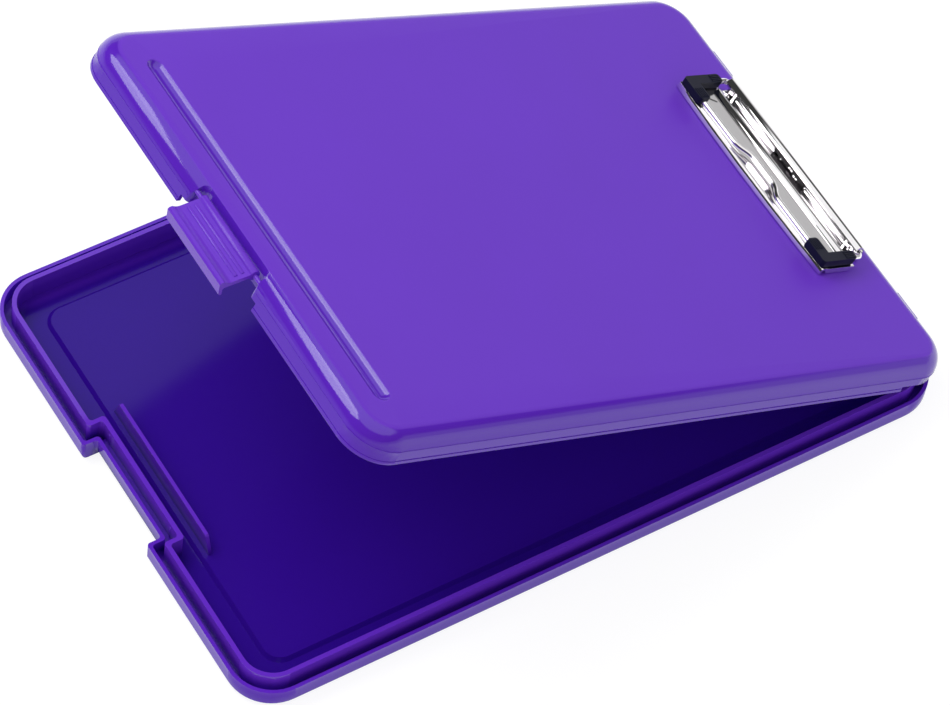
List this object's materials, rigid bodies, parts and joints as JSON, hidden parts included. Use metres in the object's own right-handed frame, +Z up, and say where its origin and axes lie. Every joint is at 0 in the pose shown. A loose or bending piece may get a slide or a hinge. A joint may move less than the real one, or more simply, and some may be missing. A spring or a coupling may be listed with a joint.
{
  "type": "storage clipboard box",
  "caption": "Slim plastic storage clipboard: shallow double-rim tray, hinged lid that nests in the rim, swing latch and a low wire-lever paper clip.",
  "frame": {"origin": "centre of the tray's footprint on the surface it rests on", "axes": "+X from the latch end to the hinge end, +Y across the width, +Z up"},
  "size_m": [0.3495, 0.231, 0.1677],
  "materials": {
    "purple_plastic": "satin moulded polypropylene",
    "clip_steel": "bright plated sheet and wire",
    "pin_steel": "drawn wire",
    "black_boot": "soft black plastic"
  },
  "bodies": {
    "tray": {"base_tray": "purple_plastic", "hinge_pins": "pin_steel"},
    "lid": {"lid": "purple_plastic", "latch_pin": "pin_steel", "clip_bracket": "clip_steel", "clip_rivets": "pin_steel", "rivet_washers": "pin_steel", "jaw_rod": "pin_steel"},
    "latch": {"latch": "purple_plastic"},
    "jaw": {"jaw_plate": "clip_steel"},
    "lever": {"wire_lever": "clip_steel", "grip_far": "black_boot", "grip_near": "black_boot"}
  },
  "joints": [
    {"name": "lid_hinge", "type": "hinge", "parent": "tray", "child": "lid", "pos_m": [0.1742, 0, 0.0046], "axis": [0, 1, 0], "range_deg": [-25.7, 90]},
    {"name": "latch_swing", "type": "hinge", "parent": "lid", "child": "latch", "pos_m": [-0.12751, 0, 0.16356], "axis": [0, 1, 0], "range_deg": [-68, 20]},
    {"name": "lever_lift", "type": "hinge", "parent": "lid", "child": "lever", "pos_m": [0.16293, 0, 0.03422], "axis": [0, 1, 0], "range_deg": [0, 100]},
    {"name": "jaw_lift", "type": "hinge", "parent": "lid", "child": "jaw", "pos_m": [0.16293, 0, 0.03422], "axis": [0, 1, 0], "range_deg": [0, 12]}
  ],
  "couplings": [
    {"joint": "jaw_lift", "follows": "lever_lift", "ratio": 0.12}
  ]
}
